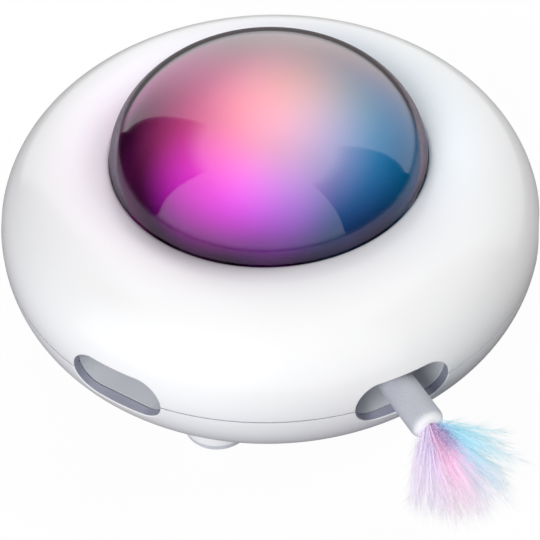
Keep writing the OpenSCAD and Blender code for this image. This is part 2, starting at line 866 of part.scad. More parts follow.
// Main circuit board under the tray
module main_board() {
  color("#3f7a55")
    at_az(rear_az)
      difference() {
        translate([-board_w / 2, -board_out, board_z]) cube([board_w, board_out - board_in, board_t]);
        for (x = [-board_screw_x, board_screw_x], y = board_screw_y)
          translate([x, -y, board_z - 1]) cylinder(h = board_t + 2, r = screw_r);
      }
}

// Screws of the main board
module board_screws() {
  color("#9a9da3")
    at_az(rear_az)
      for (x = [-board_screw_x, board_screw_x], y = board_screw_y)
        translate([x, -y, board_z]) screw_up(small_head_r, small_head_h, screw_r, board_t + 3);
}

// Charging socket at the rear edge of the main board
module usb_socket() {
  color("#b4b8bf")
    at_az(rear_az)
      difference() {
        slot_bar(usb_w, usb_h, usb_z + usb_h / 2, usb_out - usb_len, usb_out);
        difference() {
          slot_bar(usb_w - 0.7, usb_h - 0.7, usb_z + usb_h / 2, usb_out - 6, usb_out + 1);
          translate([-usb_tongue_w / 2, -usb_out + 0.8, usb_z + usb_h / 2 - usb_tongue_t / 2])
            cube([usb_tongue_w, usb_tongue_len, usb_tongue_t]);
        }
      }
}

// Housing of the push switch under the main board
module tact_switch() {
  color("#34363b")
    at_polar(rear_az, button_place, switch_z)
      difference() {
        translate([-3.1, -3.1, 0]) cube([6.2, 6.2, switch_h]);
        translate([0, 0, -1]) cylinder(h = switch_h, r = plunger_r + running_fit);
      }
}

// Plunger of the push switch
module switch_plunger() {
  color("#202226")
    at_polar(rear_az, button_place, stem_top) cylinder(h = switch_z - stem_top + 1.2, r = plunger_r);
}

// Power button in the underside
module power_button() {
  color("#dadce1")
    at_polar(rear_az, button_place, 0) {
      translate([0, 0, foot_h - 1]) cylinder(h = wall + 1.5, r = button_r);
      translate([0, 0, floor_top + 0.2]) cylinder(h = 1, r = button_r + button_flange);
      translate([0, 0, floor_top + 1]) cylinder(h = stem_top - floor_top - 1, r = stem_r);
    }
}

// Round rubber foot with its plug
module foot(az) {
  color("#e4e6ea")
    at_polar(az, foot_place_r, 0) {
      translate([0, 0, foot_edge]) cylinder(h = foot_h - foot_edge, r = foot_d / 2);
      cylinder(h = foot_edge, r1 = foot_d / 2 - foot_edge, r2 = foot_d / 2);
      translate([0, 0, foot_h - 0.5]) cylinder(h = foot_stem_len + 0.5, r = foot_stem_r);
    }
}

// Screws that join the two shells
module case_screws() {
  color("#9a9da3")
    for (az = case_screw_az)
      at_polar(az, case_screw_r, seam_z - case_screw_deep)
        screw_up(2.7, 1.8, 1.3, case_screw_deep + case_screw_grip);
}
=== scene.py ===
import json
import math
import random

import bmesh
import bpy
from mathutils import Matrix, Vector


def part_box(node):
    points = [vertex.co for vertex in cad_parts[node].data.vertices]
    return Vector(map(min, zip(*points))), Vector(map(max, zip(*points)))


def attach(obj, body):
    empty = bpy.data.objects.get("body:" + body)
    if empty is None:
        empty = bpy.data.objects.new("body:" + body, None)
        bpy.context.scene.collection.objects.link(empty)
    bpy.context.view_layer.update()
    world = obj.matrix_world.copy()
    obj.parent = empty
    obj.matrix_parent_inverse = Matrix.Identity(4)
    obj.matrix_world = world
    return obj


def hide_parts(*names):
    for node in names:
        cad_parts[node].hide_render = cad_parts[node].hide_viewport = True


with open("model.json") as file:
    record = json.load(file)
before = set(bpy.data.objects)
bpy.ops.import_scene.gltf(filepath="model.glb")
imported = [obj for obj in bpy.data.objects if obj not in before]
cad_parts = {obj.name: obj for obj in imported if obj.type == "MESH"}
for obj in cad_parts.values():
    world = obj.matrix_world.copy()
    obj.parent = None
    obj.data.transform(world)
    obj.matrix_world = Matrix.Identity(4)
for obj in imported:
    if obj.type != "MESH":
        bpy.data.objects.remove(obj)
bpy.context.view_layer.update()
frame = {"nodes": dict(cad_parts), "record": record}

# Sizes in metres. Those that a node's box gives are read from it.
MM = 0.001
CASE_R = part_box("upper_shell")[1].x
SEAM_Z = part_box("upper_shell")[0].z
BASE_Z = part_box("lower_shell")[0].z
WALL = 2.4 * MM
SHELL_TURNS = 192
OVERLAP = 0.02 * MM

# Dome, diffuser and their seat
DOME_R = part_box("dome_lens")[1].x
DOME_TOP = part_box("dome_lens")[1].z
DOME_WALL = 2.4 * MM
DOME_EDGE = 0.4 * MM
SKIRT_MIDDLE = 2.4 * MM
DIFFUSER_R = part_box("light_diffuser")[1].x
DIFFUSER_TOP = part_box("light_diffuser")[1].z
DIFFUSER_WALL = 1.6 * MM
LEDGE_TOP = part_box("dome_lens")[0].z
LEDGE_R = 44 * MM
LEDGE_T = 2 * MM
RING_Z = LEDGE_TOP + 4.9 * MM
WELL_R = DOME_R + 0.2 * MM
WELL_ROUND = 0.5 * MM

# Section of the shells: one arc above the seam and one below
UPPER_CZ = SEAM_Z + 2.2 * MM
RIM_RUN = CASE_R - DOME_R
RIM_RISE = RING_Z + 0.5 * MM - UPPER_CZ
UPPER_ARC = (RIM_RUN ** 2 + RIM_RISE ** 2) / (2 * RIM_RUN)
UPPER_C = CASE_R - UPPER_ARC
LOWER_CZ = SEAM_Z + 0.8 * MM
LOWER_ARC = LOWER_CZ + 0.2 * MM - BASE_Z
LOWER_C = CASE_R - LOWER_ARC
SEAM_GAP = 0.35 * MM
FLOOR_TOP = BASE_Z + WALL
FLOOR_RINGS = (50 * MM, 32 * MM, 15 * MM)

# Slots, with the number of points along the long and the short sides of a sector and the rows of its skins
SLOT_COUNT = 6
SLOT_Z = SEAM_Z + 0.2 * MM
SLOT_W = 34.7 * MM
SLOT_H = 17.6 * MM
SLOT_LIP = 4.4 * MM
SLOT_RIM = 1.8 * MM
SLOT_ROUND = 0.5 * MM
SLOT_BACK = SLOT_LIP + 0.3 * MM - CASE_R
SLEEVE_Z = SEAM_Z + 0.6 * MM
SLEEVE_H = 16.8 * MM
BAND_HI = SEAM_Z + 20 * MM
BAND_LO = SEAM_Z - 18 * MM
LONG_STEPS = 32
SHORT_STEPS = 16
OUTER_ROWS = 12
EDGE_ROWS = 5
INNER_ROWS = 6

# Underside, with angles from the front towards +X in degrees
REAR_TURN = 150
SCREW_TURNS = (90, 210, 330)
SCREW_PLACE = CASE_R - 11 * MM
SCREW_HOLE_R = 3 * MM
SCREW_HOLE_TOP = SEAM_Z - 16 * MM
UPPER_BOSS_R = 3.6 * MM
LOWER_BOSS_R = 4 * MM
FOOT_TURNS = (-43, 43, 137, -137)
FOOT_PLACE = 69.5 * MM
PAD_R = 12 * MM
PAD_H = 5.5 * MM
BUTTON_PLACE = 55 * MM
BUTTON_HOLE_R = 6.05 * MM
PORT_W = 9.5 * MM
PORT_H = 3.8 * MM
PORT_NEAR = 80 * MM
PORT_FAR = CASE_R + 4 * MM

# Wand and tuft, with angles in degrees and the widths of its fibres in millimetres
TUFT_ROOT = Vector((0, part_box("wand_tip")[0].y, SLEEVE_Z))
TUFT_SEED = 41
TUFT_PLUMES = 96
TUFT_BARBS = 70
TUFT_LOCKS = 210
TUFT_TURN = (-47, 78)
TUFT_DROOP = (16, 56)
TUFT_LENGTH = 29.5 * MM
TUFT_ROOT_R = 2.9 * MM
TUFT_SINK = 0.9 * MM
PLUME_W = 0.2 * MM
BARB_W = (0.07, 0.14)
LOCK_W = (0.2, 0.36)

# Lamps behind the diffuser: where each one shows, how far it spreads, in millimetres, and its colour
LAMPS = (
    ((-49, -34, 102), 20, (2.6, 0.0, 2.8)),
    ((-30, -57, 98), 19, (1.7, 0.0, 2.7)),
    ((-14, -14, 102), 23, (1.8, 0.2, 0.7)),
    ((28, -24, 81), 18, (0.0, 0.3, 0.65)),
    ((28, 30, 102), 34, (1.0, 0.8, 0.75)),
    ((-20, 32, 78), 15, (0.9, 0.15, 0.5)),
    ((0, -46, 102), 21, (0.0, 0.2, 1.1)),
    ((-21, 2, 58), 17, (4.6, 0.1, 3.2)),
    ((0, -14, 71), 19, (0.65, 1.7, 0.35)),
    ((-38, 38, 68), 12, (0.8, 0.05, 0.6)),
    ((0, 54, 66), 12, (0.55, 0.1, 0.6)),
    ((38, 38, 68), 12, (0.05, 0.3, 0.7)),
)

# Camera, in the frame of the part
CAMERA_PLACE = Vector((-0.2148, -0.4386, 0.5006))
CAMERA_YAW = math.radians(26.0)
CAMERA_PITCH = math.radians(45.276)
CAMERA_ROLL = math.radians(-1.856)
CAMERA_LENS = 126.67
PICTURE_RIGHT = (math.cos(CAMERA_YAW), -math.sin(CAMERA_YAW), 0)
TO_CAMERA = (-math.sin(CAMERA_YAW), -math.cos(CAMERA_YAW), 0)

# Studio lamps: name, place and diameter in metres, and power in watts
STUDIO_LAMPS = (
    ("key", (-0.83, -0.69, 0.55), 0.9, 12.8),
    ("right", (1.0, -0.2, 0.64), 0.9, 7.4),
    ("back", (0.23, 1.1, 0.45), 0.8, 7.8),
)
LAMP_AIM = Vector((0, 0, 0.04))
AMBIENT = 0.26

# Ring of small lamps for the coloured light round the dome
GLOW_POWER = 0.034
GLOW_LAMPS = 24
GLOW_LEFT = Vector((1.0, 0.58, 1.0))
GLOW_RIGHT = Vector((0.02, 0.3, 0.52))
GLOW_R = 62 * MM
GLOW_Z = 82 * MM
GLOW_SIZE = 8 * MM
GLOW_FRONT_CUT = 0.7

# Floor and the cards that only reflections show
WHITE = (1, 1, 1)
FLOOR_SIZE = 3.0
FLOOR_DROP = 0.2 * MM
FLOOR_BOUNCE = (0.22, 0.245, 0.36)
# Painted shadow: the colour of the floor near the object as reflections show it
FLOOR_MIRRORED = (0.2, 0.185, 0.185)
FLOOR_SHADOW = 0.05
RIM_CARD_GAP = 0.3 * MM
RIM_CARD_HALF = 75 * MM
FLAG_NEAR = 0.3
FLAG_AWAY = 1.0
FLAG_LOW = 0.001
FLAG_HIGH = 1.8
FLAG_FADE = (1.1, 1.7)

# Dark gaps between the white walls of the studio, as angles from the front towards +X in degrees
DARK_GAPS = {"left": (-157, -101), "right": (20, 76)}


class Graph:
    """A node graph, with short calls that add and join its nodes."""

    def __init__(self, tree):
        self.tree = tree
        self.tree.nodes.clear()

    def put(self, socket, value):
        """Joins a socket to another one or sets its value. A colour of three numbers is opaque."""
        if isinstance(value, bpy.types.NodeSocket):
            self.tree.links.new(value, socket)
        elif socket.type == "RGBA" and len(value) == 3:
            socket.default_value = (*value, 1)
        else:
            socket.default_value = value

    def add(self, kind, inputs=None, **settings):
        node = self.tree.nodes.new(kind)
        for key, value in settings.items():
            setattr(node, key, value)
        for key, value in (inputs or {}).items():
            self.put(node.inputs[key], value)
        return node

    def calc(self, a, b, how="ADD"):
        return self.add("ShaderNodeMath", {0: a, 1: b}, operation=how).outputs[0]

    def size_of(self, value):
        return self.add("ShaderNodeMath", {0: value}, operation="ABSOLUTE").outputs[0]

    def vector(self, a, b, how):
        return self.add("ShaderNodeVectorMath", {0: a, 1: b}, operation=how).outputs

    def blend(self, fac, a, b, how="MIX"):
        return self.add("ShaderNodeMixRGB", {0: fac, 1: a, 2: b}, blend_type=how).outputs["Color"]

    def mix(self, fac, a, b):
        return self.add("ShaderNodeMixShader", {0: fac, 1: a.outputs[0], 2: b.outputs[0]})

    def span(self, value, low, high, to_low, to_high, smooth=False):
        inputs = {"Value": value, "From Min": low, "From Max": high, "To Min": to_low, "To Max": to_high}
        kind = "SMOOTHSTEP" if smooth else "LINEAR"
        return self.add("ShaderNodeMapRange", inputs, interpolation_type=kind).outputs["Result"]

    def vary(self, noise, low, high):
        """A value that follows the usual reach of a noise."""
        return self.span(noise, 0.3, 0.7, low, high)

    def ramp(self, fac, *stops):
        node = self.add("ShaderNodeValToRGB", {"Fac": fac})
        elements = node.color_ramp.elements
        while len(elements) < len(stops):
            elements.new(1.0)
        for element, (at, colour) in zip(elements, stops):
            element.position = at
            element.color = (*colour, 1)
        return node.outputs["Color"]

    def bump(self, height, distance, strength=1.0):
        inputs = {"Height": height, "Distance": distance, "Strength": strength}
        return self.add("ShaderNodeBump", inputs).outputs["Normal"]

    def emission(self, colour):
        return self.add("ShaderNodeEmission", {"Color": colour, "Strength": 1.0})

    def principled(self, **inputs):
        return self.add("ShaderNodeBsdfPrincipled", {k.replace("_", " "): v for k, v in inputs.items()})


class Look(Graph):
    """The node graph of one material, painted by the place on the part."""

    def __init__(self, name):
        self.mat = bpy.data.materials.new(name)
        self.mat.use_nodes = True
        super().__init__(self.mat.node_tree)
        self.out = self.add("ShaderNodeOutputMaterial")
        self.place = self.add("ShaderNodeTexCoord").outputs["Object"]

    def noise(self, scale, detail=3.0, rough=0.55, stretch=(1, 1, 1)):
        place = self.add("ShaderNodeMapping", {"Vector": self.place, "Scale": stretch})
        inputs = {"Vector": place.outputs[0], "Scale": scale, "Detail": detail, "Roughness": rough}
        return self.add("ShaderNodeTexNoise", inputs).outputs["Fac"]

    def axes(self):
        return self.add("ShaderNodeSeparateXYZ", {"Vector": self.place}).outputs

    def distance(self, point):
        return self.vector(self.place, point, "DISTANCE")["Value"]

    def along(self, direction):
        return self.vector(self.place, direction, "DOT_PRODUCT")["Value"]

    def finish(self, shader, volume=None):
        self.put(self.out.inputs["Surface"], shader.outputs[0])
        if volume:
            self.put(self.out.inputs["Volume"], volume.outputs[0])
        return self.mat


def shade(colour, factor):
    """The colour made lighter or darker by a factor."""
    return tuple(min(1.0, c * factor) for c in colour)


def plastic(name, colour, rough=0.45, grain=700, depth=0.02, coat=0.0):
    """Moulded plastic: faint clouding, fine grain and uneven gloss."""
    look = Look(name)
    cloud = look.noise(45, 3)
    fine = look.noise(grain, 2)
    return look.finish(look.principled(
        Base_Color=look.ramp(cloud, (0.3, shade(colour, 0.965)), (0.7, shade(colour, 1.02))),
        Roughness=look.vary(look.noise(140, 4), rough * 0.88, rough * 1.14),
        Normal=look.bump(fine, depth * MM),
        IOR=1.48,
        Coat_Weight=coat,
        Coat_Roughness=0.08,
    ))


def metal(name, colour, rough=0.3, stretch=(1, 1, 12)):
    """Plated or ground metal: fine drawn lines and small stains."""
    look = Look(name)
    lines = look.noise(420, 3, 0.6, stretch)
    stain = look.noise(160, 4)
    return look.finish(look.principled(
        Base_Color=look.ramp(stain, (0.3, shade(colour, 0.86)), (0.65, colour)),
        Metallic=1.0,
        Roughness=look.vary(lines, rough * 0.75, rough * 1.35),
        Normal=look.bump(lines, 0.01 * MM, 0.6),
    ))


def circuit_board(name, mask, copper):
    """Solder mask over a net of tracks, with a woven base showing faintly."""
    look = Look(name)
    brick = look.add("ShaderNodeTexBrick", {
        "Vector": look.place, "Scale": 260.0, "Mortar Size": 0.014, "Brick Width": 0.9, "Row Height": 0.34,
        "Color1": (0, 0, 0), "Color2": (0.25, 0.25, 0.25), "Mortar": WHITE,
    })
    weave = look.noise(1500, 2)
    tracks = look.blend(brick.outputs["Color"], mask, copper)
    return look.finish(look.principled(
        Base_Color=look.blend(look.vary(weave, 0.0, 0.12), tracks, shade(mask, 0.6)),
        Roughness=look.vary(weave, 0.28, 0.42),
        Normal=look.bump(brick.outputs["Fac"], 0.03 * MM),
        Coat_Weight=0.3,
        Coat_Roughness=0.15,
    ))


def slot_depth(look):
    """How far a point in the band of the slots lies below the outer surface of the shells."""
    axes = look.axes()
    flat = look.add("ShaderNodeCombineXYZ", {"X": axes["X"], "Y": axes["Y"]})
    run = look.add("ShaderNodeVectorMath", {0: flat.outputs[0]}, operation="LENGTH").outputs["Value"]
    surface = []
    for centre, height, radius in ((UPPER_C, UPPER_CZ, UPPER_ARC), (LOWER_C, LOWER_CZ, LOWER_ARC)):
        rise = look.calc(axes["Z"], height, "SUBTRACT")
        reach = look.calc(radius ** 2, look.calc(rise, rise, "MULTIPLY"), "SUBTRACT")
        surface.append(look.calc(look.calc(reach, 0.5, "POWER"), centre))
    above = look.calc(axes["Z"], SEAM_Z, "GREATER_THAN")
    step = look.calc(look.calc(surface[0], surface[1], "SUBTRACT"), above, "MULTIPLY")
    depth = look.calc(look.calc(surface[1], step), run, "SUBTRACT")
    away = look.size_of(look.calc(axes["Z"], SLOT_Z, "SUBTRACT"))
    return look.calc(depth, look.calc(away, 0.56 * SLOT_H, "LESS_THAN"), "MULTIPLY")


def white_gloss():
    """Glossy white shell plastic with faint sink marks, and painted shade: grey on the walls of the slots and
    along the seam gap.
    """
    look = Look("white_gloss")
    cloud = look.noise(14, 2)
    sink = look.noise(55, 1)
    white = look.ramp(cloud, (0.35, (0.885, 0.885, 0.885)), (0.65, (0.91, 0.91, 0.91)))
    # Painted shade: the walls of the slots, below the outer surface, are painted grey for the shade that
    # falls in them.
    inside = look.span(slot_depth(look), 0.2 * MM, 0.5 * MM, 0.0, 1.0, True)
    # Painted shade: the edges of the seam gap are painted grey for the shade inside the gap.
    off_seam = look.size_of(look.calc(look.axes()["Z"], SEAM_Z - SEAM_GAP / 2, "SUBTRACT"))
    seam = look.span(off_seam, 0.4 * SEAM_GAP, 0.7 * SEAM_GAP, 0.9, 0.0)
    return look.finish(look.principled(
        Base_Color=look.blend(look.calc(inside, seam, "MAXIMUM"), white, (0.325, 0.33, 0.415)),
        Roughness=look.vary(look.noise(90, 4), 0.2, 0.27),
        Normal=look.bump(sink, 0.03 * MM, 0.5),
        IOR=1.5,
        Coat_Weight=0.25,
        Coat_Roughness=0.05,
    ))


def smoked_dome():
    """Clear smoked plastic, polished, with faint handling haze."""
    look = Look("smoked_dome")
    haze = look.noise(70, 5)
    glass = look.principled(
        Base_Color=WHITE,
        Roughness=look.span(haze, 0.35, 0.7, 0.0, 0.03),
        IOR=1.58,
        Transmission_Weight=1.0,
    )
    smoke = look.add("ShaderNodeVolumeAbsorption", {"Color": (0.46, 0.40, 0.48), "Density": 420.0})
    return look.finish(glass, smoke)


def frosted_diffuser():
    """Frosted plastic lit from behind by coloured lamps that blend into each other."""
    look = Look("frosted_diffuser")
    frost = look.noise(900, 2)
    light = None
    for place, spread, colour in LAMPS:
        near = look.span(look.distance([v * MM for v in place]), 0.0, 2.1 * spread * MM, 1.0, 0.0, True)
        glow = look.blend(1.0, colour, near, "MULTIPLY")
        light = glow if light is None else look.blend(1.0, light, glow, "ADD")
    return look.finish(look.principled(
        Base_Color=look.ramp(frost, (0.3, (0.022, 0.018, 0.024)), (0.7, (0.034, 0.028, 0.036))),
        Roughness=0.7,
        Normal=look.bump(frost, 0.02 * MM),
        Emission_Color=light,
        Emission_Strength=1.0,
    ))


def lamp_package():
    """Small lamp with a pale resin window."""
    look = Look("lamp")
    return look.finish(look.principled(
        Base_Color=look.ramp(look.noise(300, 3), (0.3, (0.80, 0.74, 0.52)), (0.7, (0.93, 0.90, 0.78))),
        Roughness=0.3,
        Normal=look.bump(look.noise(900, 2), 0.02 * MM),
    ))


def foot_rubber():
    """Milky soft rubber."""
    look = Look("foot_rubber")
    fine = look.noise(1200, 2)
    return look.finish(look.principled(
        Base_Color=look.ramp(look.noise(120, 3), (0.3, (0.58, 0.60, 0.64)), (0.7, (0.66, 0.67, 0.71))),
        Roughness=look.vary(fine, 0.38, 0.5),
        Normal=look.bump(fine, 0.015 * MM),
        Subsurface_Weight=0.25,
        Subsurface_Scale=0.003,
        Subsurface_Radius=(1.0, 1.0, 1.0),
    ))


def spark_grey(look):
    """Fine speckle of the wand's spark textured skin, and its grey."""
    speck = look.noise(2600, 2, 0.7)
    return speck, look.ramp(speck, (0.3, (0.45, 0.465, 0.52)), (0.72, (0.575, 0.59, 0.645)))


def wand_grey():
    """Grey tube with a spark textured skin."""
    look = Look("wand_grey")
    speck, grey = spark_grey(look)
    return look.finish(look.principled(
        Base_Color=grey,
        Roughness=look.vary(speck, 0.42, 0.6),
        Normal=look.bump(speck, 0.05 * MM, 0.7),
    ))


def wand_end():
    """End cap of the wand: the grey of the tube fades to a painted white highlight at its rounded front."""
    look = Look("wand_white")
    speck, grey = spark_grey(look)
    # Painted highlight: the rounded front of the cap turns white where the light catches it.
    front = look.span(look.axes()["Y"], TUFT_ROOT.y + 2.4 * MM, TUFT_ROOT.y + 0.1 * MM, 0.0, 1.0, True)
    return look.finish(look.principled(
        Base_Color=look.blend(front, grey, (0.94, 0.94, 0.95)),
        Roughness=look.vary(speck, 0.36, 0.5),
        Normal=look.bump(speck, 0.03 * MM, 0.6),
    ))


def tuft_dye(look, turn):
    """Colours of the tuft from side to side: lavender, pink and cyan, with streaks."""
    streak = look.span(look.noise(520, 3, 0.6), 0.25, 0.75, -0.2, 0.2)
    across = look.span(look.calc(turn, streak), math.radians(-55), math.radians(70), 0.0, 1.0)
    return look.ramp(
        across,
        (0.0, (0.86, 0.74, 0.88)),
        (0.34, (0.80, 0.70, 0.88)),
        (0.43, (0.98, 0.56, 0.78)),
        (0.53, (0.97, 0.60, 0.83)),
        (0.60, (0.70, 0.72, 0.93)),
        (0.67, (0.40, 0.81, 0.93)),
        (1.0, (0.54, 0.89, 0.95)),
    )


def tuft_fluff():
    """Dyed fluff with pale hairs and ends, a painted violet shadow near its root and a faint painted glow in
    its own colour.
    """
    look = Look("tuft")
    axes = look.axes()
    ahead = look.calc(TUFT_ROOT.y + 6 * MM, axes["Y"], "SUBTRACT")
    turn = look.calc(axes["X"], ahead, "ARCTAN2")
    dye = tuft_dye(look, turn)
    reach = look.distance(TUFT_ROOT)
    out = look.vector(look.place, TUFT_ROOT + Vector((0, 3 * MM, 0)), "SUBTRACT")[0]
    fan = look.add("ShaderNodeVectorMath", {0: out}, operation="NORMALIZE").outputs[0]
    hair = look.add("ShaderNodeTexNoise", {"Vector": fan, "Scale": 70.0, "Detail": 2.0}).outputs["Fac"]
    bleach = look.span(hair, 0.53, 0.63, 0.0, 0.85)
    ends = look.calc(look.span(reach, 7 * MM, 33 * MM, 0.0, 0.72), bleach, "MAXIMUM")
    pale = look.blend(ends, dye, (0.96, 0.96, 0.98))
    # Painted shadow: dark violet between the hairs near the root, deepest in the middle of the fan.
    middle = look.size_of(look.calc(turn, math.radians(13), "SUBTRACT"))
    core = look.span(middle, math.radians(6), math.radians(24), 0.9, 0.25, True)
    close = look.span(reach, 4 * MM, 15 * MM, 1.0, 0.0, True)
    gaps = look.span(hair, 0.46, 0.56, 1.0, 0.0)
    shadow = look.calc(gaps, look.calc(core, close, "MULTIPLY"), "MULTIPLY")
    deep = look.blend(shadow, pale, (0.19, 0.15, 0.42))
    return look.finish(look.principled(
        Base_Color=deep,
        Roughness=0.6,
        Subsurface_Weight=0.5,
        Subsurface_Radius=(1.0, 1.0, 1.0),
        Subsurface_Scale=0.0002,
        # Painted light: the fluff glows faintly in its own colour, for the light that passes through its thin
        # fibres.
        Emission_Color=deep,
        Emission_Strength=0.14,
        Normal=look.bump(look.noise(3000, 2), 0.01 * MM),
    ))


def all_looks():
    """One material for each slot of the record."""
    return {
        "white_gloss": white_gloss(),
        "smoked_dome": smoked_dome(),
        "frosted_diffuser": frosted_diffuser(),
        "white_board": circuit_board("white_board", (0.80, 0.82, 0.80), (0.88, 0.86, 0.78)),
        "lamp": lamp_package(),
        "screw_steel": metal("screw_steel", (0.60, 0.61, 0.63), 0.34),
        "grey_plastic": plastic("grey_plastic", (0.58, 0.60, 0.63), 0.5),
        "motor_metal": metal("motor_metal", (0.66, 0.67, 0.70), 0.28, (1, 12, 1)),
        "gear_plastic": plastic("gear_plastic", (0.82, 0.79, 0.70), 0.4),
        "shaft_steel": metal("shaft_steel", (0.70, 0.71, 0.73), 0.2, (12, 12, 1)),
        "bush_brass": metal("bush_brass", (0.74, 0.57, 0.27), 0.26, (12, 12, 1)),
        "wand_grey": wand_grey(),
        "wand_white": wand_end(),
        "tuft": tuft_fluff(),
        "tray_grey": plastic("tray_grey", (0.75, 0.77, 0.81), 0.5),
        "battery_wrap": plastic("battery_wrap", (0.12, 0.23, 0.45), 0.3, 300, 0.05, 0.3),
        "green_board": circuit_board("green_board", (0.03, 0.20, 0.09), (0.10, 0.36, 0.16)),
        "black_plastic": plastic("black_plastic", (0.03, 0.032, 0.036), 0.45),
        "button_grey": plastic("button_grey", (0.68, 0.70, 0.73), 0.4, 1200, 0.02),
        "foot_rubber": foot_rubber(),
    }


def new_object(name, bm, mat=None):
    """Object of a finished mesh, linked to the scene."""
    mesh = bpy.data.meshes.new(name)
    bm.to_mesh(mesh)
    bm.free()
    if mat:
        mesh.materials.append(mat)
    thing = bpy.data.objects.new(name, mesh)
    bpy.context.scene.collection.objects.link(thing)
    return thing


def add_mesh(name, bm, slot, body, node, sharp):
    """Piece that rides on its body and stands for a CAD node, smooth up to the sharp angle in degrees."""
    bmesh.ops.recalc_face_normals(bm, faces=bm.faces)
    piece = new_object(name, bm, LOOKS[slot])
    piece.data.shade_smooth()
    piece.data.set_sharp_from_angle(angle=math.radians(sharp))
    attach(piece, body)
    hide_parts(node)
    return piece


def stage_piece(name, bm, mat):
    """Floor or card, which isn't part of the object."""
    piece = new_object(name, bm, mat)
    return piece


def hide_from(thing, *rays):
    """Makes an object unseen by some kinds of rays."""
    for ray in rays:
        setattr(thing, "visible_" + ray, False)


def on_ring(r, z, turn):
    """Point at a radius, a height and an angle from the front towards +X."""
    return Vector((r * math.sin(turn), -r * math.cos(turn), z))


def full_turn(count):
    """Angles of evenly spaced points round a circle."""
    return [2 * math.pi * i / count for i in range(count)]


def join_rows(bm, rows, closed):
    """Faces between neighbouring rows of vertices, each row going round once if it is closed."""
    for low, high in zip(rows, rows[1:]):
        count = len(low)
        for i in range(count if closed else count - 1):
            j = (i + 1) % count
            corners = []
            for v in (low[i], low[j], high[j], high[i]):
                if v not in corners:
                    corners.append(v)
            if len(corners) > 2:
                bm.faces.new(corners)


def lathe(bm, profile, turns):
    """Surface of a profile of (radius, height) points turned about the axis. A radius of 0 is one point."""
    rows = []
    for r, z in profile:
        if r < 1e-9:
            rows.append([bm.verts.new((0, 0, z))] * len(turns))
        else:
            rows.append([bm.verts.new(on_ring(r, z, t)) for t in turns])
    join_rows(bm, rows, True)


def arc(centre, radius, start, end, count):
    """Points of an arc from start to end, angles in degrees, in a section of radius and height."""
    points = []
    for i in range(count + 1):
        a = math.radians(start + (end - start) * i / count)
        points.append((centre[0] + radius[0] * math.cos(a), centre[1] + radius[1] * math.sin(a)))
    return points


def angle_at(height, radius):
    """Angle in degrees at which an arc is a height above its centre."""
    return math.degrees(math.asin(height / radius))


def plug(bm, turn, place_r, r, low, high, count=48):
    """Upright closed cylinder at an angle and a radius. An end is a height or a function of the radius."""
    at = on_ring(place_r, 0, math.radians(turn))

    def ring(size, end):
        row = []
        for a in full_turn(count):
            point = at + on_ring(size, 0, a)
            height = end(math.hypot(point.x, point.y)) if callable(end) else end
            row.append(bm.verts.new((point.x, point.y, height)))
        return row

    sizes = [r * k / 4 for k in (1, 2, 3, 4)]
    rows = [ring(size, low) for size in sizes] + [ring(size, high) for size in sizes[::-1]]
    join_rows(bm, rows, True)
    bm.faces.new(rows[0])
    bm.faces.new(rows[-1][::-1])


def carve(bm, tool, how):
    """The mesh with another solid joined to it or cut from it."""
    things = []
    for name, part in (("carve_body", bm), ("carve_tool", tool)):
        bmesh.ops.recalc_face_normals(part, faces=part.faces)
        things.append(new_object(name, part))
    change = things[0].modifiers.new("carve", "BOOLEAN")
    change.operation = how
    change.solver = "EXACT"
    change.object = things[1]
    result = bmesh.new()
    result.from_object(things[0], bpy.context.evaluated_depsgraph_get())
    for thing in things:
        mesh = thing.data
        bpy.data.objects.remove(thing)
        bpy.data.meshes.remove(mesh)
    return result


def make_dome():
    """Smoked dome: an upright skirt, rounded at its foot, under an elliptical crown."""
    crown = DOME_TOP - RING_Z
    edge = (DOME_EDGE, DOME_EDGE)
    foot = LEDGE_TOP + DOME_EDGE
    inner_r = DOME_R - DOME_WALL
    profile = arc((0, RING_Z), (DOME_R, crown), 90, 0, 56)
    profile += [(DOME_R, RING_Z - SKIRT_MIDDLE)]
    profile += arc((DOME_R - DOME_EDGE, foot), edge, 0, -90, 4)
    profile += arc((inner_r + DOME_EDGE, foot), edge, -90, -180, 4)
    profile += [(inner_r, RING_Z - SKIRT_MIDDLE)]
    profile += arc((0, RING_Z), (inner_r, crown - DOME_WALL), 0, 90, 56)
    bm = bmesh.new()
    lathe(bm, profile, full_turn(SHELL_TURNS))
    add_mesh("dome_lens_clear", bm, "smoked_dome", "casing", "dome_lens", 50)


def make_diffuser():
    """Frosted inner dome, nested in the smoked one."""
    crown = DIFFUSER_TOP - RING_Z
    inner_r = DIFFUSER_R - DIFFUSER_WALL
    profile = arc((0, RING_Z), (DIFFUSER_R, crown), 90, 0, 40)
    profile += [(DIFFUSER_R, LEDGE_TOP), (inner_r, LEDGE_TOP)]
    profile += arc((0, RING_Z), (inner_r, crown - DIFFUSER_WALL), 0, 90, 40)
    bm = bmesh.new()
    lathe(bm, profile, full_turn(144))
    add_mesh("light_diffuser_frosted", bm, "frosted_diffuser", "casing", "light_diffuser", 50)


def round_end(centre, bend, turn):
    """Point on the round end of a slot, with its outward direction."""
    return (centre + bend * math.cos(turn), bend * math.sin(turn), math.cos(turn), math.sin(turn))


def slot_outline(height):
    """Outline of a slot: points with their outward directions, evenly spaced, starting at the upper left."""
    bend = height / 2
    straight = SLOT_W / 2 - bend
    quarter = bend * math.pi / 4
    half = []
    for i in range(LONG_STEPS):
        run = (2 * straight + 2 * quarter) * i / LONG_STEPS
        if quarter < run < quarter + 2 * straight:
            half.append((run - quarter - straight, bend, 0.0, 1.0))
            continue
        side = -1 if run <= quarter else 1
        turn = math.pi / 2 - side * (abs(run - quarter - straight) - straight) / bend
        half.append(round_end(side * straight, bend, turn))
    for i in range(SHORT_STEPS):
        half.append(round_end(straight, bend, math.radians(45 - 90 * i / SHORT_STEPS)))
    return half + [tuple(-v for v in point) for point in half]


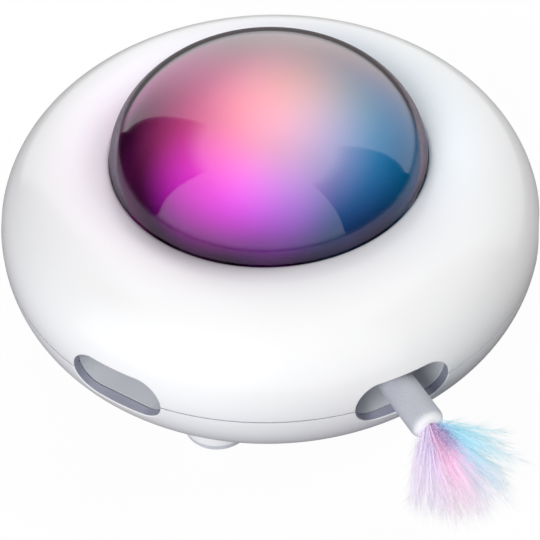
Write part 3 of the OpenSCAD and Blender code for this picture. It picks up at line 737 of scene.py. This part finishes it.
def sector_frame():
    """Turn and height of the points round one sector, in step with the outline of its slot."""
    half = math.pi / SLOT_COUNT
    long_side = [i / LONG_STEPS for i in range(LONG_STEPS)]
    short_side = [i / SHORT_STEPS for i in range(SHORT_STEPS)]
    points = [(-half + 2 * half * t, BAND_HI) for t in long_side]
    points += [(half, BAND_HI + (BAND_LO - BAND_HI) * t) for t in short_side]
    points += [(half - 2 * half * t, BAND_LO) for t in long_side]
    points += [(-half, BAND_LO + (BAND_HI - BAND_LO) * t) for t in short_side]
    return points


def slotted_band(bm, surface):
    """Band of a shell with its six slots: outer skin, rounded edge, collar and inner skin."""
    outline = slot_outline(SLOT_H)
    sleeve = slot_outline(SLEEVE_H)
    around = sector_frame()

    def on_skin(grow, inset):
        points = []
        for u, v, nu, nv in outline:
            x = u + nu * grow
            z = SLOT_Z + v + nv * grow
            points.append(Vector((x, -math.sqrt(surface(z, inset) ** 2 - x ** 2), z)))
        return points

    def skin_rows(edge, inset, count):
        rows = []
        for k in range(count + 1):
            share = (k / count) ** 1.3
            row = []
            for point, (turn, z) in zip(edge, around):
                start = math.asin(point.x / surface(point.z, inset))
                high = point.z + (z - point.z) * share
                row.append(on_ring(surface(high, inset), high, start + (turn - start) * share))
            rows.append(row)
        return rows

    def collar_back(points):
        return [Vector((p.x, max(p.y, SLOT_BACK), p.z)) for p in points]

    corners = on_skin(0.0, 0.0)
    inner_edge = on_skin(SLOT_RIM, WALL)
    rows = skin_rows(on_skin(SLOT_ROUND, 0.0), 0.0, OUTER_ROWS)[::-1]
    outer_edge = rows[-1]
    for k in range(1, EDGE_ROWS + 1):
        t = k / EDGE_ROWS
        bent = []
        for outer, corner in zip(outer_edge, corners):
            deep = corner + Vector((0, SLOT_ROUND, 0))
            bent.append(outer * (1 - t) ** 2 + corner * (2 * t * (1 - t)) + deep * t ** 2)
        rows.append(bent)
    mouth = [Vector((u, p.y, SLEEVE_Z + v)) for (u, v, _, _), p in zip(sleeve, on_skin(0.0, WALL))]
    rows.append(collar_back(mouth))
    rows.append(collar_back(inner_edge))
    rows += skin_rows(inner_edge, WALL, INNER_ROWS)
    for k in range(SLOT_COUNT):
        turn = Matrix.Rotation(2 * math.pi * k / SLOT_COUNT, 3, "Z")
        join_rows(bm, [[bm.verts.new(turn @ p) for p in row] for row in rows], True)


def close_at(bm, height, keep_above):
    """Cuts a shell off at a height and closes the cut."""
    bmesh.ops.remove_doubles(bm, verts=bm.verts, dist=0.002 * MM)
    bmesh.ops.bisect_plane(bm, geom=bm.verts[:] + bm.edges[:] + bm.faces[:], plane_co=(0, 0, height),
                           plane_no=(0, 0, 1), clear_inner=keep_above, clear_outer=not keep_above)
    bmesh.ops.holes_fill(bm, edges=[e for e in bm.edges if e.is_boundary], sides=0)


def upper_surface(z, inset):
    """Radius of the upper shell at a height, inset from its outer surface."""
    return UPPER_C + math.sqrt((UPPER_ARC - inset) ** 2 - (z - UPPER_CZ) ** 2)


def lower_surface(z, inset):
    """Radius of the lower shell at a height, inset from its outer surface."""
    return LOWER_C + math.sqrt((LOWER_ARC - inset) ** 2 - (z - LOWER_CZ) ** 2)


def upper_height(r):
    """Height inside the wall of the upper shell at a radius."""
    return UPPER_CZ + math.sqrt((UPPER_ARC - WALL / 2) ** 2 - (r - UPPER_C) ** 2)


def lower_height(r):
    """Height inside the wall of the lower shell at a radius."""
    return LOWER_CZ - math.sqrt((LOWER_ARC - WALL / 2) ** 2 - (r - LOWER_C) ** 2)


def make_upper_shell():
    """Upper shell: slotted band, crown, rounded rim of the dome's well, seat, inner skin and screw bosses."""
    inner_arc = UPPER_ARC - WALL
    centre = (UPPER_C, UPPER_CZ)
    rim_c = WELL_R + WELL_ROUND
    rim_z = UPPER_CZ + math.sqrt(UPPER_ARC ** 2 - (UPPER_C - WELL_R) ** 2)
    rim_turn = math.degrees(math.acos((rim_c - UPPER_C) / UPPER_ARC))
    back_turn = math.degrees(math.acos((WELL_R + LEDGE_T - UPPER_C) / inner_arc))
    profile = arc(centre, (UPPER_ARC, UPPER_ARC), angle_at(BAND_HI - UPPER_CZ, UPPER_ARC), rim_turn, 40)
    profile += arc((rim_c, rim_z - WELL_ROUND), (WELL_ROUND, WELL_ROUND + 0.1 * MM), 100, 180, 4)
    profile += [(WELL_R, LEDGE_TOP), (LEDGE_R, LEDGE_TOP), (LEDGE_R, LEDGE_TOP - LEDGE_T)]
    profile += [(WELL_R + LEDGE_T, LEDGE_TOP - LEDGE_T)]
    profile += arc(centre, (inner_arc, inner_arc), back_turn, angle_at(BAND_HI - UPPER_CZ, inner_arc), 20)
    bm = bmesh.new()
    lathe(bm, profile, full_turn(SHELL_TURNS))
    slotted_band(bm, upper_surface)
    close_at(bm, SEAM_Z, True)
    bosses = bmesh.new()
    for turn in SCREW_TURNS:
        plug(bosses, turn, SCREW_PLACE, UPPER_BOSS_R, SEAM_Z + OVERLAP, upper_height)
    bm = carve(bm, bosses, "UNION")
    shell = add_mesh("upper_shell_white", bm, "white_gloss", "casing", "upper_shell", 35)
    hide_from(shell, "glossy")


def port_cutter():
    """Rounded bar that cuts the opening of the charging socket."""
    bm = bmesh.new()
    lo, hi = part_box("usb_socket")
    middle = (lo.z + hi.z) / 2
    bend = PORT_H / 2
    straight = PORT_W / 2 - bend
    turn = Matrix.Rotation(math.radians(REAR_TURN), 3, "Z")
    rows = []
    for deep in (PORT_NEAR, PORT_FAR):
        row = []
        for side, start in ((1, 90), (-1, 270)):
            for i in range(13):
                a = math.radians(start - 15 * i)
                spot = Vector((side * straight + bend * math.cos(a), -deep, middle + bend * math.sin(a)))
                row.append(bm.verts.new(turn @ spot))
        rows.append(row)
    join_rows(bm, rows, True)
    bm.faces.new(rows[0])
    bm.faces.new(rows[1][::-1])
    return bm


def make_lower_shell():
    """Lower shell: slotted band, bowl, foot pads, screw bosses and the openings of the underside."""
    inner_arc = LOWER_ARC - WALL
    centre = (LOWER_C, LOWER_CZ)
    flat = angle_at(BASE_Z - LOWER_CZ, LOWER_ARC)
    inner_flat = angle_at(FLOOR_TOP - LOWER_CZ, inner_arc)
    profile = arc(centre, (LOWER_ARC, LOWER_ARC), angle_at(BAND_LO - LOWER_CZ, LOWER_ARC), flat, 20)
    profile += [(r, BASE_Z) for r in FLOOR_RINGS] + [(0, BASE_Z), (0, FLOOR_TOP)]
    profile += [(r, FLOOR_TOP) for r in FLOOR_RINGS[::-1]]
    profile += arc(centre, (inner_arc, inner_arc), inner_flat, angle_at(BAND_LO - LOWER_CZ, inner_arc), 12)
    bm = bmesh.new()
    lathe(bm, profile, full_turn(SHELL_TURNS))
    slotted_band(bm, lower_surface)
    close_at(bm, SEAM_Z - SEAM_GAP, False)
    added = bmesh.new()
    for turn in FOOT_TURNS:
        plug(added, turn, FOOT_PLACE, PAD_R, BASE_Z - OVERLAP, BASE_Z + PAD_H, 64)
    for turn in SCREW_TURNS:
        plug(added, turn, SCREW_PLACE, LOWER_BOSS_R, lower_height, SEAM_Z - SEAM_GAP - OVERLAP)
    bm = carve(bm, added, "UNION")
    cut = bmesh.new()
    for turn in SCREW_TURNS:
        plug(cut, turn, SCREW_PLACE, SCREW_HOLE_R, 0.0, SCREW_HOLE_TOP)
    plug(cut, REAR_TURN, BUTTON_PLACE, BUTTON_HOLE_R, 0.0, FLOOR_TOP + 1 * MM, 64)
    bm = carve(bm, cut, "DIFFERENCE")
    bm = carve(bm, port_cutter(), "DIFFERENCE")
    add_mesh("lower_shell_white", bm, "white_gloss", "casing", "lower_shell", 35)


def strand(bm, points, width):
    """Tapered three-sided hair along a curve that ends in a point."""
    turns = [math.radians(a) for a in (90, 210, 330)]
    rows = []
    for k, point in enumerate(points[:-1]):
        ahead = (points[k + 1] - point).normalized()
        side = ahead.cross(Vector((0.3, 0.2, 1))).normalized()
        other = ahead.cross(side)
        r = width / 2 * (1 - k / (len(points) - 1)) ** 0.6
        rows.append([bm.verts.new(point + side * r * math.cos(a) + other * r * math.sin(a)) for a in turns])
    join_rows(bm, rows, True)
    end = bm.verts.new(points[-1])
    for i in range(3):
        bm.faces.new((rows[-1][i], rows[-1][(i + 1) % 3], end))
    bm.faces.new(rows[0][::-1])


def fan_direction(turn, droop):
    """Direction ahead of the wand, turned towards +X and drooping, both in degrees."""
    a = math.radians(turn)
    d = math.radians(droop)
    return Vector((math.sin(a) * math.cos(d), -math.cos(a) * math.cos(d), -math.sin(d)))


def tuft_root(rng, turn, nearest, heights):
    """Place in the mouth of the end cap where a fibre starts."""
    spot = rng.uniform(nearest, 1.0) * TUFT_ROOT_R
    return TUFT_ROOT + Vector((spot * math.sin(math.radians(turn)), TUFT_SINK, rng.uniform(*heights) * spot))


def add_barb(bm, rng, stem, length):
    """Fine barb that leans from a stem towards its end."""
    at = rng.uniform(0.0, 0.94)
    lean = Vector((rng.gauss(0, 1), rng.gauss(0, 0.6), rng.gauss(0, 0.9)))
    along = (stem(at + 0.02) - stem(at)).normalized()
    lean = (lean - along * lean.dot(along)).normalized()
    spread = rng.uniform(0.1, 0.62)
    reach = length * rng.uniform(0.24, 0.46) * (1.06 - at * 0.5)
    curl = lean * reach * rng.uniform(-0.18, 0.1) + Vector((0, 0, -reach * rng.uniform(0.0, 0.12)))
    points = []
    for t in (0, 0.25, 0.5, 0.75, 1):
        points.append(stem(at) + (along + lean * spread) * reach * t + curl * t * t)
    strand(bm, points, rng.uniform(*BARB_W) * MM)


def add_plume(bm, rng, share, layer):
    """Fluffy feather: a stem with barbs, at a share of the fan's width and of its depth."""
    turn = TUFT_TURN[0] + (TUFT_TURN[1] - TUFT_TURN[0]) * share + rng.uniform(-6, 6)
    droop = TUFT_DROOP[0] + (TUFT_DROOP[1] - TUFT_DROOP[0]) * layer + rng.uniform(-4, 4)
    length = TUFT_LENGTH * (0.74 + 0.34 * math.sin(math.pi * share ** 1.25)) * rng.uniform(0.9, 1.04)
    aim = fan_direction(turn, droop)
    bow = Vector((rng.uniform(-2, 2), 0, rng.uniform(-5, -1))) * MM
    root = tuft_root(rng, turn, 0.3, (-0.8, 0.8))

    def stem(t):
        return root + aim * length * t + bow * t * t

    strand(bm, [stem(i / 6) for i in range(7)], PLUME_W)
    for _ in range(TUFT_BARBS):
        add_barb(bm, rng, stem, length)


def add_lock(bm, rng, k):
    """Thicker single hair, one of a row across the fan."""
    turn = TUFT_TURN[0] + (TUFT_TURN[1] - 12 - TUFT_TURN[0]) * (k + rng.uniform(0, 1)) / TUFT_LOCKS
    aim = fan_direction(turn, rng.uniform(TUFT_DROOP[0] - 1, TUFT_DROOP[1] - 8))
    wave = Vector((rng.uniform(-2.5, 2.5), rng.uniform(-1, 1), rng.uniform(-4, 1))) * MM
    root = tuft_root(rng, turn, 0.2, (-0.5, 0.9))
    length = TUFT_LENGTH * rng.uniform(0.4, 0.98)
    points = [root + aim * length * t + wave * t * t for t in (0, 0.15, 0.3, 0.45, 0.6, 0.8, 1)]
    strand(bm, points, rng.uniform(*LOCK_W) * MM)


def make_tuft():
    """Tuft of fluffy feathers with thicker hairs among them."""
    rng = random.Random(TUFT_SEED)
    bm = bmesh.new()
    for k in range(TUFT_PLUMES):
        add_plume(bm, rng, k / (TUFT_PLUMES - 1), (k * 0.618) % 1)
    for k in range(TUFT_LOCKS):
        add_lock(bm, rng, k)
    add_mesh("feather_tuft_fluff", bm, "tuft", "wand", "feather_tuft", 80)


def dress_cad_nodes():
    """Gives every CAD node the material of its slot."""
    for row in frame["record"]["subparts"]:
        mesh = frame["nodes"][row["node"]].data
        mesh.materials.clear()
        mesh.materials.append(LOOKS[row["material_slot"]])


def make_camera():
    """Camera that looks down on the front left of the object."""
    data = bpy.data.cameras.new("camera")
    data.lens = CAMERA_LENS
    data.sensor_width = 36
    data.clip_start = 0.01
    data.clip_end = 50
    flat = Vector(PICTURE_RIGHT)
    ahead = Vector((math.sin(CAMERA_YAW) * math.cos(CAMERA_PITCH),
                    math.cos(CAMERA_YAW) * math.cos(CAMERA_PITCH), -math.sin(CAMERA_PITCH)))
    level = flat.cross(ahead)
    right = flat * math.cos(CAMERA_ROLL) + level * math.sin(CAMERA_ROLL)
    up = level * math.cos(CAMERA_ROLL) - flat * math.sin(CAMERA_ROLL)
    turn = Matrix((right, up, -ahead)).transposed().to_4x4()
    turn.translation = CAMERA_PLACE
    camera = bpy.data.objects.new("camera", data)
    camera.matrix_world = turn
    bpy.context.scene.collection.objects.link(camera)
    bpy.context.scene.camera = camera


def make_world():
    """White to the camera and in reflections, and a moderate even light otherwise."""
    world = bpy.data.worlds.new("studio")
    bpy.context.scene.world = world
    world.use_nodes = True
    graph = Graph(world.node_tree)
    path = graph.add("ShaderNodeLightPath").outputs
    mirrored = graph.calc(path["Is Glossy Ray"], path["Is Transmission Ray"], "MAXIMUM")
    seen = graph.calc(path["Is Camera Ray"], mirrored, "MAXIMUM")
    soft = graph.add("ShaderNodeBackground", {"Color": (0.985, 0.985, 0.99), "Strength": AMBIENT})
    white = graph.add("ShaderNodeBackground", {"Color": WHITE, "Strength": 1.0})
    graph.add("ShaderNodeOutputWorld", {"Surface": graph.mix(seen, soft, white).outputs[0]})


def add_lamp(name, kind, place, power):
    """Lamp that shows in no reflection and through no clear plastic."""
    data = bpy.data.lights.new(name, kind)
    data.energy = power
    lamp = bpy.data.objects.new(name, data)
    lamp.location = place
    hide_from(lamp, "glossy", "transmission")
    bpy.context.scene.collection.objects.link(lamp)
    return lamp


def make_lights():
    """Soft studio lamps that face the object."""
    for name, place, size, power in STUDIO_LAMPS:
        lamp = add_lamp(name, "AREA", place, power)
        lamp.data.shape = "DISK"
        lamp.data.size = size
        lamp.rotation_euler = (LAMP_AIM - lamp.location).to_track_quat("-Z", "Y").to_euler()


def make_glow():
    """Ring of small lamps over the rim of the dome, for the coloured light that it throws on the shell."""
    for k, turn in enumerate(full_turn(GLOW_LAMPS)):
        place = on_ring(GLOW_R, GLOW_Z, turn)
        ahead = min(1.0, max(0.0, place.dot(Vector(TO_CAMERA)) / GLOW_R))
        power = GLOW_POWER / GLOW_LAMPS * (1 - GLOW_FRONT_CUT * ahead)
        lamp = add_lamp(f"glow_{k}", "POINT", place, power)
        lamp.data.color = GLOW_LEFT.lerp(GLOW_RIGHT, (place.x / GLOW_R + 1) / 2)
        lamp.data.shadow_soft_size = GLOW_SIZE
        hide_from(lamp, "camera")


def front_only(look, shader):
    """The shader on the front of each face, with nothing on its back."""
    back = look.add("ShaderNodeNewGeometry").outputs["Backfacing"]
    return look.mix(back, shader, look.add("ShaderNodeBsdfTransparent"))


def make_floor():
    """Pale floor, white to the camera but for a soft shadow, dimmer to other rays and open from below."""
    look = Look("floor")
    path = look.add("ShaderNodeLightPath").outputs
    seen = path["Is Camera Ray"]
    mirrored = look.calc(path["Is Glossy Ray"], path["Is Transmission Ray"], "MAXIMUM")
    away = look.distance((0, 0, 0))
    # Painted light and shade: to other rays the floor glows brighter under the object and dimmer to the
    # right, and in reflections it is dark near the object, a painted shadow.
    under = look.span(away, 0.03, 0.075, 1.9, 0.8, True)
    side = look.span(look.along(PICTURE_RIGHT), -0.15, 0.15, 1.2, 0.2)
    lit = look.blend(1.0, FLOOR_BOUNCE, look.calc(under, side, "MULTIPLY"), "MULTIPLY")
    far = look.span(away, 0.38, 0.6, 0.0, 1.0, True)
    bounce = look.blend(mirrored, lit, look.blend(far, FLOOR_MIRRORED, WHITE))
    glow = look.emission(look.blend(seen, bounce, WHITE))
    paint = look.add("ShaderNodeBsdfDiffuse", {"Color": (0.95, 0.95, 0.95)})
    share = look.calc(1.0, look.calc(seen, FLOOR_SHADOW, "MULTIPLY"), "SUBTRACT")
    mat = look.finish(front_only(look, look.mix(share, paint, glow)))
    bm = bmesh.new()
    corners = ((-1, -1), (1, -1), (1, 1), (-1, 1))
    bm.faces.new([bm.verts.new((x * FLOOR_SIZE, y * FLOOR_SIZE, -FLOOR_DROP)) for x, y in corners])
    stage_piece("floor", bm, mat)


def make_rim_card():
    """Dim card over the crown of the shell, seen only in reflections, that lights the edge of the dome."""
    look = Look("rim_card")
    near = look.span(look.along(TO_CAMERA), -RIM_CARD_HALF, RIM_CARD_HALF, 0.0, 1.0)
    level = look.ramp(
        near,
        (0.0, (0.4, 0.36, 0.36)),
        (0.5, (0.3, 0.27, 0.32)),
        (0.75, (0.5, 0.42, 0.55)),
        (1.0, (0.9, 0.65, 1.0)),
    )
    mat = look.finish(front_only(look, look.emission(level)))
    size = UPPER_ARC + RIM_CARD_GAP
    bm = bmesh.new()
    lathe(bm, arc((UPPER_C, UPPER_CZ), (size, size), 30, 109, 24), full_turn(96))
    hide_from(stage_piece("rim_card", bm, mat), "camera", "diffuse", "transmission", "shadow")


def make_flags():
    """Tall dark cards at both sides, seen only in reflections, that draw the dark lobes on the dome."""
    look = Look("flag")
    fade = look.span(look.axes()["Z"], *FLAG_FADE, 0.0, 1.0, True)
    clear = look.add("ShaderNodeBsdfTransparent")
    mat = look.finish(look.mix(fade, look.emission((0, 0, 0)), clear))
    profile = ((FLAG_NEAR, FLAG_LOW), (FLAG_AWAY, FLAG_LOW), (FLAG_AWAY, FLAG_HIGH))
    for side, (start, end) in DARK_GAPS.items():
        bm = bmesh.new()
        turns = [math.radians(start + (end - start) * i / 24) for i in range(25)]
        join_rows(bm, [[bm.verts.new(on_ring(r, z, t)) for t in turns] for r, z in profile], False)
        hide_from(stage_piece("flag_" + side, bm, mat), "camera", "diffuse", "shadow")


LOOKS = all_looks()
make_camera()
make_world()
make_floor()
make_flags()
make_lights()
make_glow()
make_rim_card()
dress_cad_nodes()
make_dome()
make_diffuser()
make_upper_shell()
make_lower_shell()
make_tuft()

bpy.context.scene.view_settings.view_transform = "Standard"
